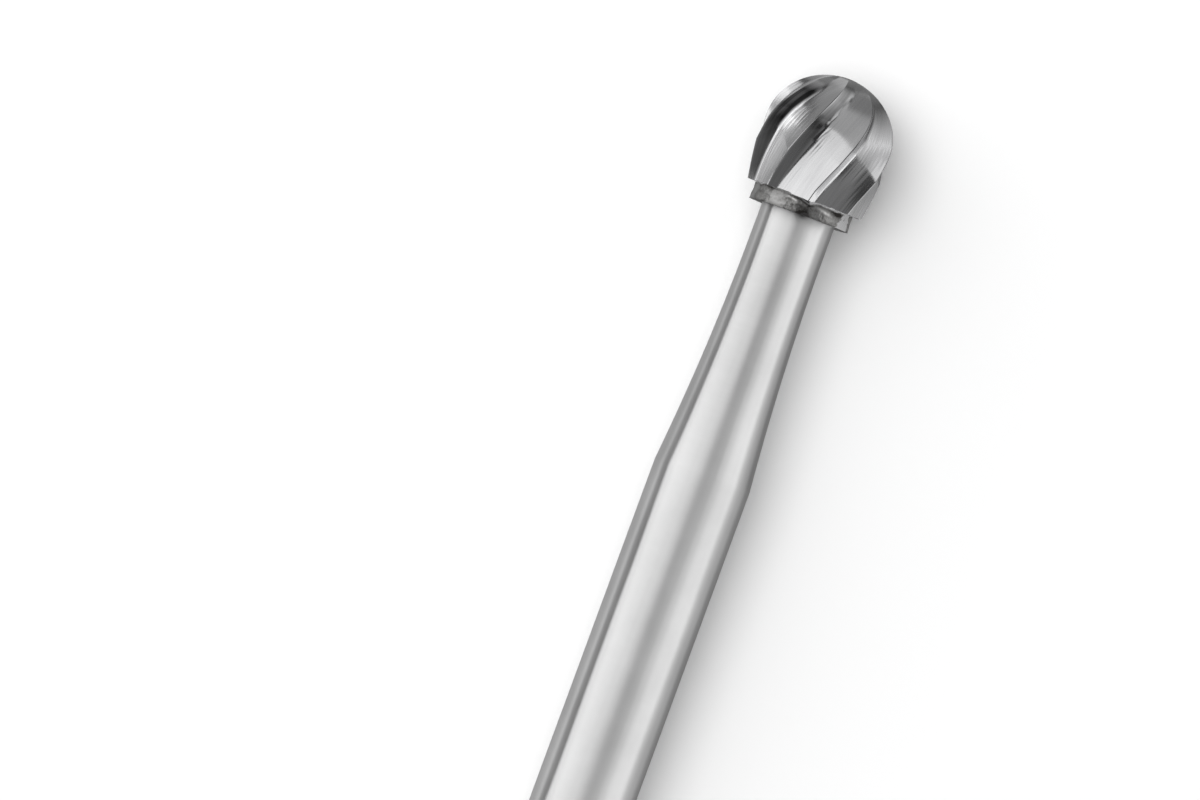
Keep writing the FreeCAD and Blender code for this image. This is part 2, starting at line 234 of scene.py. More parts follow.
@dataclass
class Surface:
    """A closed skin swept out by a grid of points.

    Attributes:
        points: Rows of points from the first pole to the last, in millimetres, shape (rows,
            columns, 3). The columns run right round, without a repeated one.
        along: Distance along the surface at each row.
        across: Distance round the surface at each column and at the repeated first one, for
            each row or for all of them.
        sharp_rows: Rows whose ring is a hard edge.
        sharp_columns: Columns whose line is a hard edge.
        sharp_from: First and last row between which the hard columns run.
        layers: Named shares from 0 to 1 at each grid point, which the finish reads.
    """

    points: Array
    along: Array
    across: Array
    sharp_rows: tuple[int, ...] = ()
    sharp_columns: tuple[int, ...] = ()
    sharp_from: tuple[int, int] = (0, 0)
    layers: dict[str, Array] = field(default_factory=dict)

    def to_object(self, name: str, material: bpy.types.Material) -> bpy.types.Object:
        """Write the skin as a mesh object at the origin, with its faces outwards.

        If the enclosed volume comes out negative, every face is turned.

        Args:
            name: Name of the object and its mesh.
            material: Finish of the piece.

        Returns:
            The object, linked to the scene.
        """
        poles = np.stack([self.points[0].mean(axis=0), self.points[-1].mean(axis=0)])
        vertices = np.concatenate([self.points.reshape(-1, 3), poles]) * MM
        faces, uvs = self._faces()
        corners = vertices[faces[0]]
        volume = np.einsum("ij,ij->", corners[:, 0] + corners[:, 2],
                           np.cross(corners[:, 2] - corners[:, 0], corners[:, 3] - corners[:, 1]))
        if volume < 0:
            faces, uvs = [part[:, ::-1] for part in faces], [part[:, ::-1] for part in uvs]
        loops = np.concatenate([part.ravel() for part in faces])
        uv = np.concatenate([part.reshape(-1, 2) for part in uvs])
        sizes = np.concatenate([np.full(len(part), part.shape[1]) for part in faces])

        mesh = bpy.data.meshes.new(name)
        mesh.vertices.add(len(vertices))
        mesh.vertices.foreach_set("co", vertices.astype(np.float32).ravel())
        mesh.loops.add(len(loops))
        mesh.loops.foreach_set("vertex_index", loops.astype(np.int32))
        mesh.polygons.add(len(sizes))
        mesh.polygons.foreach_set("loop_start", (np.cumsum(sizes) - sizes).astype(np.int32))
        mesh.polygons.foreach_set("loop_total", sizes.astype(np.int32))
        mesh.polygons.foreach_set("use_smooth", np.ones(len(sizes), bool))
        mesh.update(calc_edges=True)
        mesh.uv_layers.new(name=UV_MAP).data.foreach_set("uv", uv.astype(np.float32).ravel())
        self._mark_sharp(mesh)
        for layer, share in self.layers.items():
            values = np.concatenate([share.ravel(), [share[0].mean(), share[-1].mean()]])
            store = mesh.attributes.new(layer, "FLOAT", "POINT")
            store.data.foreach_set("value", values.astype(np.float32))
        mesh.materials.append(material)
        mesh.validate()
        piece = bpy.data.objects.new(name, mesh)
        link(piece)
        return piece

    def _faces(self) -> tuple[list[Array], list[Array]]:
        """Corners of the faces.

        Neighbouring grid points make four-sided faces, and a fan of triangles closes each end on
        a pole, the middle of its ring. The two poles come after all the grid points.

        Returns:
            Point numbers, and distances along and round the surface, of the corners of the
            four-sided faces, of the first fan and of the last fan.
        """
        rows, columns = self.points.shape[:2]
        row, column = np.indices((rows - 1, columns)).reshape(2, -1)
        grids = [(np.stack([row, row, row + 1, row + 1], axis=1),
                  np.stack([column, column + 1, column + 1, column], axis=1))]
        steps = np.arange(columns)
        for end, first, second in ((0, 1, 0), (rows - 1, 0, 1)):
            fan = np.stack([steps + first, steps + second, steps], axis=1)
            grids.append((np.full_like(fan, end), fan))
        faces = [at_row * columns + at_column % columns for at_row, at_column in grids]
        faces[1][:, 2], faces[2][:, 2] = rows * columns, rows * columns + 1
        across = np.broadcast_to(self.across, (rows, columns + 1))
        uvs = [np.stack([self.along[at_row], across[at_row, at_column]], axis=-1)
               for at_row, at_column in grids]
        return faces, uvs

    def _mark_sharp(self, mesh: bpy.types.Mesh) -> None:
        """Mark the hard rings and lines.

        Args:
            mesh: The mesh to mark.
        """
        rows, columns = self.points.shape[:2]
        pairs = np.zeros(len(mesh.edges) * 2, np.int32)
        mesh.edges.foreach_get("vertices", pairs)
        pairs = pairs.reshape(-1, 2)
        on_grid = (pairs < rows * columns).all(axis=1)
        row, column = pairs // columns, pairs % columns
        ringwise = on_grid & (row[:, 0] == row[:, 1]) & np.isin(row[:, 0], self.sharp_rows)
        first, last = self.sharp_from
        inside = (row.min(axis=1) >= first) & (row.max(axis=1) <= last)
        lengthwise = on_grid & (column[:, 0] == column[:, 1]) & inside
        lengthwise &= np.isin(column[:, 0], self.sharp_columns)
        mark = mesh.attributes.new("sharp_edge", "BOOLEAN", "EDGE")
        mark.data.foreach_set("value", ringwise | lengthwise)


class Nodes:
    """A short way to build a node tree."""

    def __init__(self, tree: bpy.types.NodeTree) -> None:
        """Start on an emptied tree."""
        self.tree = tree
        tree.nodes.clear()

    def add(self, kind: str, **inputs: object) -> bpy.types.Node:
        """Add a node and fill its inputs.

        Args:
            kind: Node type, such as ShaderNodeMath.
            **inputs: Values or sockets by input name, with spaces as underscores; numbers after
                an i pick an input by its place, and other names that the node has are set on it.

        Returns:
            The node.
        """
        node = self.tree.nodes.new(kind)
        for name, value in inputs.items():
            if hasattr(node, name) and name not in node.inputs:
                setattr(node, name, value)
        for name, value in inputs.items():
            if name[0] == "i" and name[1:].isdigit():
                socket = node.inputs[int(name[1:])]
            elif name.replace("_", " ") in node.inputs:
                socket = node.inputs[name.replace("_", " ")]
            else:
                continue
            if isinstance(value, Socket):
                self.tree.links.new(value, socket)
            else:
                socket.default_value = value
        return node

    def math(self, operation: str, *values: object) -> Socket:
        """Output of a Math node over numbers or sockets."""
        inputs = {f"i{place}": value for place, value in enumerate(values)}
        return self.add("ShaderNodeMath", operation=operation, **inputs).outputs[0]

    def noise(self, place: Socket, scale: float, detail: float) -> Socket:
        """Height of a noise at a place."""
        return self.add("ShaderNodeTexNoise", Vector=place, Scale=scale, Detail=detail).outputs[0]

    def layer(self, name: str) -> Socket:
        """One of the piece's point attributes."""
        return self.add("ShaderNodeAttribute", attribute_name=name).outputs["Fac"]

    def window(self, values: list[Socket], span: Span, soft: Span) -> Socket:
        """One within a span and none outside, with soft edges.

        Args:
            values: The numbers to test against the rising and the falling edge.
            span: Middles of the rising and the falling edge.
            soft: Half widths of the two edges.

        Returns:
            The product of a rising and a falling smooth step.
        """
        steps = []
        for value, edge, half, start in zip(values, span, soft, (0.0, 1.0)):
            step = self.add("ShaderNodeMapRange", interpolation_type="SMOOTHSTEP", i0=value,
                            i1=edge - half, i2=edge + half, i3=start, i4=1.0 - start)
            steps.append(step.outputs[0])
        return self.math("MULTIPLY", *steps)


def start_material(name: str) -> tuple[bpy.types.Material, Nodes]:
    """Make a material with an empty node tree.

    Args:
        name: Name of the material.

    Returns:
        The material, and the way to build its nodes.
    """
    material = bpy.data.materials.new(name)
    material.use_nodes = True
    return material, Nodes(material.node_tree)


@dataclass(frozen=True)
class MetalFinish:
    """A bare metal whose fine grooves run along the piece's own UV directions.

    The grooves are two noises stretched along u, one fine and one broad. They vary the colour a
    little, the roughness more, and raise a very low bump. A third, round noise dulls the metal in
    soft patches. Where the piece's layer of stains and painted shade is full, the metal is darker
    and duller: painted shade in the ball's flutes and on its lands, and dark patches and a painted
    shadow beside the joint on the shank.

    Attributes:
        name: Name of the material.
        color: Linear colour of the bare metal.
        roughness: Middle roughness.
        streak: How much the grooves change the colour, as a share.
        spread: How much the grooves change the roughness.
        bump_mm: Height of the grooves.
        fine: Grooves per millimetre in the fine noise.
        stretch: How many times longer than wide a groove is.
        turn: Whether the grooves run round the piece rather than along it.
        anisotropy: How far reflections smear across the grooves.
        stain_and_shade_loss: Share of the colour that is lost where the stains and painted
        shade are full.
        cloud: How much the soft patches change the colour, as a share.
        broader: How many times broader the broad noise is than the fine one.
        broad_share: Share of the broad noise in the grooves.
        patches: Soft patches per millimetre.
        patch_dulls: How much the soft patches change the roughness.
        stain_and_shade_dulls: How much rougher the metal is where the stains and painted shade
            are full.
        stain_and_shade_breaks: How much the grooves break up the stains and painted shade.
        darkest: Least share of the colour that the stains and painted shade leave.
    """

    name: str
    color: Color
    roughness: float
    streak: float
    spread: float
    bump_mm: float
    fine: float
    stretch: float
    turn: bool = False
    anisotropy: float = 0.0
    stain_and_shade_loss: float = 0.0
    cloud: float = 0.25
    broader: float = 5.0
    broad_share: float = 0.6
    patches: float = 0.9
    patch_dulls: float = 0.08
    stain_and_shade_dulls: float = 0.06
    stain_and_shade_breaks: float = 1.2
    darkest: float = 0.03

    def material(self) -> bpy.types.Material:
        """Build the node material.

        Returns:
            The material, which needs the UV map and reads the layer of stains and painted shade.
        """
        material, nodes = start_material(self.name)
        uv = nodes.add("ShaderNodeUVMap", uv_map=UV_MAP).outputs[0]
        scale = (self.fine / self.stretch, self.fine)
        if self.turn:
            scale = scale[::-1]
        grooves = self._noise(nodes, uv, scale, 3.0)
        broad = self._noise(nodes, uv, tuple(part / self.broader for part in scale), 2.0)
        both = nodes.math("MULTIPLY_ADD", broad, self.broad_share,
                          nodes.math("MULTIPLY", grooves, 1.0 - self.broad_share))
        centred = nodes.math("SUBTRACT", both, 0.5)
        position = nodes.add("ShaderNodeTexCoord").outputs["Object"]
        patches = nodes.noise(position, self.patches / MM, 3.0)
        cloudy = nodes.math("MULTIPLY_ADD", patches, self.cloud, 1.0 - self.cloud / 2)
        # Stains and painted shade: where this layer is full, the colour is darkened.
        stain = nodes.layer("stain")
        streaky = nodes.math("MULTIPLY", stain,
                             nodes.math("MULTIPLY_ADD", centred, -self.stain_and_shade_breaks, 1.0))
        clean = nodes.math("MAXIMUM", nodes.math("MULTIPLY_ADD", streaky, -self.stain_and_shade_loss, 1.0),
                           self.darkest)
        streaked = nodes.math("MULTIPLY_ADD", centred, 2 * self.streak, cloudy)
        shade = nodes.math("MULTIPLY", streaked, clean)
        color = nodes.add("ShaderNodeVectorMath", operation="SCALE", i0=self.color, Scale=shade)
        even = nodes.math("MULTIPLY_ADD", stain, self.stain_and_shade_dulls,
                          self.roughness - self.patch_dulls / 2)
        dull = nodes.math("MULTIPLY_ADD", patches, self.patch_dulls, even)
        rough = nodes.math("MULTIPLY_ADD", centred, 2 * self.spread, dull)
        bump = nodes.add("ShaderNodeBump", Strength=1.0, Distance=self.bump_mm * MM, Height=both)
        shader = nodes.add("ShaderNodeBsdfPrincipled", Base_Color=color.outputs[0], Metallic=1.0,
                           Roughness=rough, Anisotropic=self.anisotropy, Normal=bump.outputs[0])
        if self.anisotropy:
            tangent = nodes.add("ShaderNodeTangent", direction_type="UV_MAP", uv_map=UV_MAP)
            nodes.tree.links.new(tangent.outputs[0], shader.inputs["Tangent"])
            quarter_turn = 0.25
            rotation = 0.0 if self.turn else quarter_turn
            shader.inputs["Anisotropic Rotation"].default_value = rotation
        nodes.add("ShaderNodeOutputMaterial", Surface=shader.outputs[0])
        return material

    @staticmethod
    def _noise(nodes: Nodes, uv: Socket, scale: Span, detail: float) -> Socket:
        """Noise over UV distances that are scaled each way on their own."""
        stretched = nodes.add("ShaderNodeMapping", Vector=uv, Scale=(*scale, 1.0)).outputs[0]
        return nodes.noise(stretched, 1.0, detail)


# The darkening share below scales painted shade in the ball's flutes and on its lands, and on the
# steel dark patches and a painted shadow beside the joint.
CARBIDE = MetalFinish("ground_carbide", (0.45, 0.45, 0.455), 0.19, 0.27, 0.06, 0.0005, 15.0, 36.0,
                      anisotropy=0.3, stain_and_shade_loss=0.92)
STEEL = MetalFinish("satin_steel", (0.56, 0.56, 0.56), 0.335, 0.02, 0.015, 0.0002, 14.0, 14.0,
                    turn=True, anisotropy=1.0, stain_and_shade_loss=0.75, cloud=0.3)


@dataclass(frozen=True)
class BrazeFinish:
    """Rough, tarnished braze with bared bright metal.

    The "tone" layer says how light the braze is, a painted shadow line under the bare metal
    included, and two noises, blotches and specks, break it up. The "bared" layer says where
    clean metal shows instead.

    Attributes:
        name: Name of the material.
        dark: Colour where the tone is nothing.
        light: Colour where the tone is full.
        bright: Colour where bare metal shows.
        contrast: How much the noises change the tone.
        blotch: Blotches per millimetre.
        speck: Specks per millimetre.
        bump_mm: Height of the roughness.
        speck_share: Share of the specks in the two noises.
        dullness: Roughness where the tone is nothing and where it is full.
        bright_dullness: Roughness where bare metal shows.
        bright_smooth: Share of the bump that is lost where bare metal shows.
    """

    name: str
    dark: Color
    light: Color
    bright: Color
    contrast: float
    blotch: float
    speck: float
    bump_mm: float
    speck_share: float = 0.4
    dullness: Span = (0.54, 0.40)
    bright_dullness: float = 0.26
    bright_smooth: float = 0.85

    def material(self) -> bpy.types.Material:
        """Build the node material.

        Returns:
            The material, which reads the "bared" and the "tone" layer.
        """
        material, nodes = start_material(self.name)
        position = nodes.add("ShaderNodeTexCoord").outputs["Object"]
        bared, tone = nodes.layer("bared"), nodes.layer("tone")
        blotches = nodes.noise(position, self.blotch / MM, 3.0)
        specks = nodes.noise(position, self.speck / MM, 2.0)
        uneven = nodes.math("MULTIPLY_ADD", specks, self.speck_share,
                            nodes.math("MULTIPLY", blotches, 1.0 - self.speck_share))
        centred = nodes.math("SUBTRACT", uneven, 0.5)
        level = nodes.math("MULTIPLY_ADD", centred, self.contrast, tone)
        clamped = nodes.add("ShaderNodeClamp", Value=level).outputs[0]
        braze = self._mix(nodes, clamped, self.dark, self.light)
        color = self._mix(nodes, bared, braze, self.bright)
        dullest, glossiest = self.dullness
        dullness = nodes.math("MULTIPLY_ADD", clamped, glossiest - dullest, dullest)
        rough = nodes.add("ShaderNodeMix", data_type="FLOAT", i0=bared, i2=dullness,
                          i3=self.bright_dullness)
        height = nodes.math("MULTIPLY", uneven,
                            nodes.math("MULTIPLY_ADD", bared, -self.bright_smooth, 1.0))
        bump = nodes.add("ShaderNodeBump", Strength=1.0, Distance=self.bump_mm * MM,
                         Height=height)
        shader = nodes.add("ShaderNodeBsdfPrincipled", Base_Color=color, Metallic=1.0,
                           Roughness=rough.outputs[0], Normal=bump.outputs[0])
        nodes.add("ShaderNodeOutputMaterial", Surface=shader.outputs[0])
        return material

    @staticmethod
    def _mix(nodes: Nodes, share: Socket, first: object, second: object) -> Socket:
        """Mix two colours.

        Args:
            nodes: The way to build nodes.
            share: Share of the second colour.
            first: Colour or socket.
            second: Colour or socket.

        Returns:
            The mixed colour.
        """
        mix = nodes.add("ShaderNodeMix", data_type="RGBA", i0=share)
        first_input, second_input = 6, 7
        for place, color in ((first_input, first), (second_input, second)):
            if isinstance(color, Socket):
                nodes.tree.links.new(color, mix.inputs[place])
            else:
                mix.inputs[place].default_value = (*color, 1.0)
        return mix.outputs[2]


BRAZE = BrazeFinish("rough_braze", (0.03, 0.028, 0.026), (0.80, 0.80, 0.79), (0.47, 0.47, 0.475),
                    0.55, 6.0, 22.0, 0.008)


@dataclass(frozen=True)
class Patch:
    """A soft oval patch on the collar or the shank.

    Attributes:
        angle: Its middle round the bur, in degrees.
        down: Its middle behind the front face of the collar or the shank, in millimetres.
        wide: Half width, in degrees.
        high: Half height, in millimetres.
        tone: How strong it is: lighter or, when negative, darker braze, or how dark a dark patch
        on the steel is.
        tilt: How far its right end lies behind its left end, in millimetres a degree.
    """

    angle: float
    down: float
    wide: float
    high: float
    tone: float
    tilt: float = 0.0

    def share(self, angle: Array, down: Array) -> Array:
        """Strength of the patch at points, fading as a bell curve both ways.

        Args:
            angle: Angles round the axis, in radians.
            down: Distances behind the piece's front face, in millimetres.

        Returns:
            The tone, times the bell curve.
        """
        away = away_from(self.angle, angle)
        across = down - self.down - self.tilt * away
        return self.tone * np.exp(-(away / self.wide) ** 2 - (across / self.high) ** 2)


@dataclass
class CuttingHead:
    """The carbide ball with its helical blades.

    Attributes:
        radius: Radius over the blades, in millimetres.
        belt: Length of the straight belt.
        taper: Length of the back taper.
        taper_angle: Slope of the back taper, in radians.
        blades: How many blades.
        lead: Length of a blade's full turn.
        depth: Depth of a flute at the belt.
        base_depth: Depth of a flute at the flat base.
        shallowest: Most that a root's radius may be, as a share of the edge's.
        rake: Lean of the face below each edge, in radians.
        land: Width of the strip on top of each blade.
        root: Rounding at the bottom of a flute.
        tip_angle: From the pole to where the flutes begin, in radians.
        hollow: How far the back of a blade is ground hollow in its middle.
        groove: Usual height of a grinding mark.
        groove_turns: How fast each set of grinding marks comes and goes, in radians a millimetre.
        groove_starts: Where in its turn each set is at the tip, in radians.
        early: How far ahead of the belt's end the root of a flute begins to rise.
        skew_from: Distance from the tip where the flute's rulings begin to lean.
        rim: Length in front of the base over which the skin stretches to the ragged rim.
        rim_width: Width of the ragged rim, as a share of the base's radius.
        hang: How far the rim hangs over the collar everywhere, and how uneven that is.
        tongues: Where it hangs further: middle and width in degrees, and how far.
        phase: Angle of an edge where the belt ends, in radians.
        seed: Seed of the grinding marks.
        rows: Rows on dome, belt and taper.
        counts: Columns of one pitch on the rake face, the rounding, the back and the land.
        painted_flute_shade: How dark the painted shade on each flute's rake face is on the dome,
            from 0 to 1.
        painted_flute_shade_from: Distances from the tip between which the painted shade sets in.
        painted_flute_shade_behind: Share of the painted shade that is left behind the belt.
        painted_flute_shade_reach: How far it reaches into the rounding, in half roundings, when it
            is weakest, and how much further when it is full.
        painted_land_shade: How dark the painted shade on the lands is.
    """

    radius: float = 1.6
    belt: float = 0.45
    taper: float = 0.89
    taper_angle: float = math.radians(12.5)
    blades: int = 8
    lead: float = 24.0
    depth: float = 0.27
    base_depth: float = 0.17
    shallowest: float = 0.9995
    rake: float = math.radians(40.0)
    land: float = 0.02
    root: float = 0.24
    tip_angle: float = math.radians(11.0)
    hollow: float = 0.010
    groove: float = 0.0005
    groove_turns: tuple[float, ...] = (2.1, 3.7, 5.3)
    groove_starts: tuple[float, ...] = (0.3, 1.9, 4.0)
    early: float = 0.39
    skew_from: float = 1.15
    rim: float = 0.2
    rim_width: float = 0.03
    hang: Span = (0.026, 0.016)
    tongues: tuple[Hump, ...] = ((20.0, 45.0, 0.022), (6.0, 9.0, 0.04), (-10.0, 12.0, 0.02))
    phase: float = math.radians(18.57)
    seed: int = 31
    rows: tuple[int, ...] = (90, 10, 20)
    counts: tuple[int, ...] = (16, 16, 54, 2)
    # Painted shade: darkness painted on the rake faces, the roundings under them and the lands.
    painted_flute_shade: tuple[float, ...] = (0.0, 0.1, 0.6, 0.6, 0.6, 0.05, 1.0, 0.55)
    painted_flute_shade_from: Span = (0.25, 0.6)
    painted_flute_shade_behind: float = 0.62
    painted_flute_shade_reach: Span = (0.9, 0.55)
    painted_land_shade: float = 0.8

    @property
    def belt_end(self) -> float:
        """Distance from the tip to the end of the belt."""
        return self.radius + self.belt

    @property
    def length(self) -> float:
        """Distance from the tip to the flat base."""
        return self.belt_end + self.taper

    @property
    def pitch(self) -> float:
        """Angle from one blade to the next, in radians."""
        return 2 * math.pi / self.blades

    def twist(self, from_tip: Array) -> Array:
        """Angle of an edge: it turns evenly along the helix and has its phase at the belt's end."""
        return (self.belt_end - from_tip) * 2 * math.pi / self.lead + self.phase

    def stations(self) -> Array:
        """Rows of the grid: even angles on the dome, even steps on the belt and the taper.

        Returns:
            Distances from the tip. The first row is a small ring round the tip.
        """
        first_ring = 0.012
        on_dome, on_belt, on_taper = self.rows
        dome = self.radius * (1 - np.cos(np.linspace(first_ring, math.pi / 2, on_dome)))
        belt = np.linspace(self.radius, self.belt_end, on_belt)[1:]
        taper = np.linspace(self.belt_end, self.length, on_taper)[1:]
        return np.concatenate([dome, belt, taper])

    def edge_radius(self, from_tip: Array) -> Array:
        """Radius over the blades: a dome, then a belt, then a straight taper.

        Args:
            from_tip: Distances from the tip.

        Returns:
            Radii at these distances.
        """
        ahead = np.clip(self.radius - from_tip, 0, None)
        behind = np.clip(from_tip - self.belt_end, 0, None)
        dome = np.sqrt(np.clip(self.radius ** 2 - ahead ** 2, 0, None))
        return dome - behind * math.tan(self.taper_angle)

    def lean(self, from_tip: Array) -> Array:
        """How far the root end of a row leads its edge end: none, early at the belt's end, none."""
        return np.interp(from_tip, [self.skew_from, self.belt_end, self.length], [0, self.early, 0])

    def root_radius(self, from_tip: Array) -> Array:
        """Radius at the bottom of a flute.

        On the dome the root runs under the surface at a depth that grows from none at the tip
        angle as one less the sixth power of the cosine ratio. Behind it the radius stays level
        as far as the crease, and then falls evenly to the flat base.

        Args:
            from_tip: Distances from the tip.

        Returns:
            Radii at these distances.
        """
        nearest_pole, steps = 0.02, 2000
        polar = np.linspace(nearest_pole, math.pi / 2, steps)
        sunk = self.radius - self.depth * (1 - (np.cos(polar) / math.cos(self.tip_angle)) ** 6)
        on_dome = np.interp(from_tip, self.radius - sunk * np.cos(polar), sunk * np.sin(polar))
        level = self.radius - self.depth
        base = self.radius - self.taper * math.tan(self.taper_angle) - self.base_depth
        behind = np.interp(from_tip, [self.belt_end - self.early, self.length], [level, base])
        return np.where(from_tip < self.radius, on_dome, behind)

    def section(self, from_tip: Array) -> tuple[Array, ...]:
        """Sections of one blade's pitch, square to the axis, at each row.

        From an edge, the rake face leans down to the root, an arc rounds it, the flat back of the
        next blade rises to that blade's land, and the land follows the ball's own circle.

        Args:
            from_tip: Distance of each row from the tip.

        Returns:
            Radius and angle of each point, the distance along the section, and each column's
            place between root, 0, and edge, 1.
        """
        edge = self.edge_radius(from_tip)[:, None]
        root_at = from_tip - self.lean(from_tip)
        root = np.minimum(self.root_radius(root_at)[:, None], edge * self.shallowest)
        sink = edge - root
        back_angle = self.pitch - self.land / self.radius
        top = np.concatenate([np.zeros_like(edge), edge], axis=1)
        low = np.concatenate([sink * math.tan(self.rake), root], axis=1)
        back = np.concatenate([edge * math.sin(back_angle), edge * math.cos(back_angle)], axis=1)
        rake_way = (top - low) / np.linalg.norm(top - low, axis=1, keepdims=True)
        back_way = (back - low) / np.linalg.norm(back - low, axis=1, keepdims=True)
        half = np.arccos(np.clip((rake_way * back_way).sum(axis=1, keepdims=True), -1, 1)) / 2
        rounding = self.root * sink / self.depth
        foot = rounding / np.tan(half)
        middle = rake_way + back_way
        middle /= np.linalg.norm(middle, axis=1, keepdims=True)
        centre = low + middle * rounding / np.sin(half)
        rake_foot, back_foot = low + rake_way * foot, low + back_way * foot

        down, turn, rise, rest = (np.linspace(0, 1, count, endpoint=False)[None]
                                  for count in self.counts)
        rake_line = top[:, None] + (rake_foot - top)[:, None] * down[..., None]
        start, end = rake_foot - centre, back_foot - centre
        first = np.arctan2(start[:, :1], start[:, 1:])
        sweep = np.arctan2(end[:, :1], end[:, 1:]) - first
        sweep = (sweep + math.pi) % (2 * math.pi) - math.pi
        heading = first + sweep * turn
        root_arc = centre[:, None] + rounding[:, None] * np.stack(
            [np.sin(heading), np.cos(heading)], axis=-1)
        outward = np.stack([-back_way[:, 1], back_way[:, 0]], axis=-1)
        bow = 4 * self.hollow * sink / self.depth * rise * (1 - rise)
        back_line = back_foot[:, None] + (back - back_foot)[:, None] * rise[..., None]
        back_line -= outward[:, None] * bow[..., None]
        bearing = back_angle + (self.pitch - back_angle) * rest
        land_arc = edge[:, None] * np.stack([np.sin(bearing), np.cos(bearing)], axis=-1)
        section = np.concatenate([rake_line, root_arc, back_line, land_arc], axis=1)
        radius = np.minimum(np.hypot(section[..., 0], section[..., 1]), edge)
        angle = np.arctan2(section[..., 0], section[..., 1])
        reach = np.linalg.norm(np.diff(section, axis=1, append=section[:, -1:]), axis=-1)
        height = np.concatenate([1 - down[0], np.zeros_like(turn[0]), rise[0],
                                 np.ones_like(rest[0])])
        return radius, angle, np.cumsum(reach, axis=1) - reach, height

    def grooves(self, from_tip: Array, columns: int) -> Array:
        """Depths of the fine marks that the wheel leaves along the flutes.

        Three sets of random heights, one height to a column, take turns along the ball, so that
        a mark comes and goes. Neighbouring columns are evened out a little, a lift makes nearly
        all the marks go inwards, and they fade towards the tip, where the columns crowd together.

        Args:
            from_tip: Distance of each row from the tip.
            columns: Columns right round the ball.

        Returns:
            Depths of at least nothing, for each row and column.
        """
        same_spread, lift = 2.45, 2.5
        heights = np.random.default_rng(self.seed).normal(size=(3, columns))
        heights = np.roll(heights, 1, axis=1) + 2 * heights + np.roll(heights, -1, axis=1)
        heights = heights / same_spread
        weights = np.cos(from_tip[:, None] * np.array(self.groove_turns) + self.groove_starts)
        fade = np.clip(self.edge_radius(from_tip) / self.radius, 0, 1)[:, None] ** 2
        return self.groove * fade * np.clip(weights @ heights + lift, 0, None)

    def skirt(self, angle: Array) -> Array:
        """How far the ragged rim of the base hangs down over the collar.

        It is little on the left, more towards the upper right, most at one chipped tongue near
        the top, and uneven by small random steps.

        Args:
            angle: Angles round the axis, in radians.

        Returns:
            Lengths in millimetres.
        """
        half_degrees = 720
        steps = mottle(2, half_degrees, cells=(1, 40), octaves=3, seed=self.seed + 1)[0]
        place = np.degrees(angle) % 360 * 2
        uneven = np.interp(place, np.arange(half_degrees + 1), np.append(steps, steps[0]))
        return add_humps(self.hang[0] + self.hang[1] * uneven, angle, self.tongues)

    def surface(self, axis: BurAxis) -> Surface:
        """Closed skin of the ball: the blades' sections, turned by the helix, and the base.

        Args:
            axis: The axis of the resting bur.

        Returns:
            The skin, with its layer of painted shade in the flutes and on the lands.
        """
        rows = self.stations()
        radius, angle, reach, height = self.section(rows)
        points_at = rows[:, None] - self.lean(rows)[:, None] * (1 - height)
        radius = np.minimum(radius, self.edge_radius(points_at))
        points_at = np.tile(points_at, (1, self.blades))
        around, across = (
            np.concatenate([part + number * step for number in range(self.blades)], axis=1)
            for part, step in ((angle, self.pitch), (reach, self.pitch * self.radius)))
        radius = np.tile(radius, (1, self.blades))
        radius = radius - self.grooves(rows, radius.shape[1])
        turned = around + self.twist(points_at)
        hanging = np.clip((rows[:, None] - self.length) / self.rim + 1, 0, 1)
        points_at = points_at + hanging * self.skirt(turned)

        base_steps, first_hard_row = 8, 6
        shares = np.linspace(1, 0, base_steps + 1)[1:-1]
        base = radius[-1:] * np.concatenate([[1 - self.rim_width], shares])[:, None]
        points_at = np.concatenate([points_at, np.full(base.shape, self.length)])
        turned = np.concatenate([turned, np.broadcast_to(turned[-1:], base.shape)])
        across = np.concatenate([across, np.broadcast_to(across[-1:], base.shape)])
        across = np.concatenate(
            [across, across[:, :1] + self.blades * self.pitch * self.radius], axis=1)
        points = axis.place(points_at, np.concatenate([radius, base]), turned)
        per_blade = sum(self.counts)
        tops = [number * per_blade for number in range(self.blades)]
        hard = tops + [top + per_blade - self.counts[-1] for top in tops]
        last = len(rows) - 1
        # Its layer is painted shade in the flutes and on the lands.
        return Surface(points, run_along(points[:, 0]), across, sharp_rows=(last,),
                       sharp_columns=tuple(hard), sharp_from=(first_hard_row, last),
                       layers={"stain": self.stain(points_at[:, :per_blade])})

    def stain(self, points_at: Array) -> Array:
        """How dark the flutes and the edges are.

        The painted shade on a rake face is darkest just under its edge, and fades out over the
        first part of the rounding at the bottom of the flute, further down in a darker flute. The
        narrow land on top of each blade is painted dark too. All of it is weaker behind the belt,
        and there is none at the very tip.

        Args:
            points_at: Distance from the tip of each point of one blade's pitch.

        Returns:
            Shares from 0 to 1, right round the ball.
        """
        edge_columns, belt_share = 3, 0.85
        rake_count, root_count, _, land_count = self.counts
        column = np.arange(points_at.shape[1])
        under = np.clip(column / edge_columns, 0, 1)
        down_root = (column - rake_count) / (root_count / 2)
        on_land = np.where(column >= len(column) - land_count, self.painted_land_shade, 0)
        start, full = self.painted_flute_shade_from
        ahead = np.clip((points_at - start) / (full - start), 0, 1)
        weaker = np.interp(points_at, [belt_share * self.radius, self.belt_end],
                           [1, self.painted_flute_shade_behind])
        least, more = self.painted_flute_shade_reach
        flutes = [share * under * np.clip(least + more * share - down_root, 0, 1) + on_land
                  for share in self.painted_flute_shade]
        return np.concatenate([flute * ahead * weaker for flute in flutes], axis=1)

    def build(self, axis: BurAxis) -> bpy.types.Object:
        """Make the ball and dress it.

        Args:
            axis: The axis of the resting bur.

        Returns:
            The finished piece.
        """
        piece = self.surface(axis).to_object(Piece.HEAD.value, CARBIDE.material())
        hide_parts("cutting_head")
        return piece


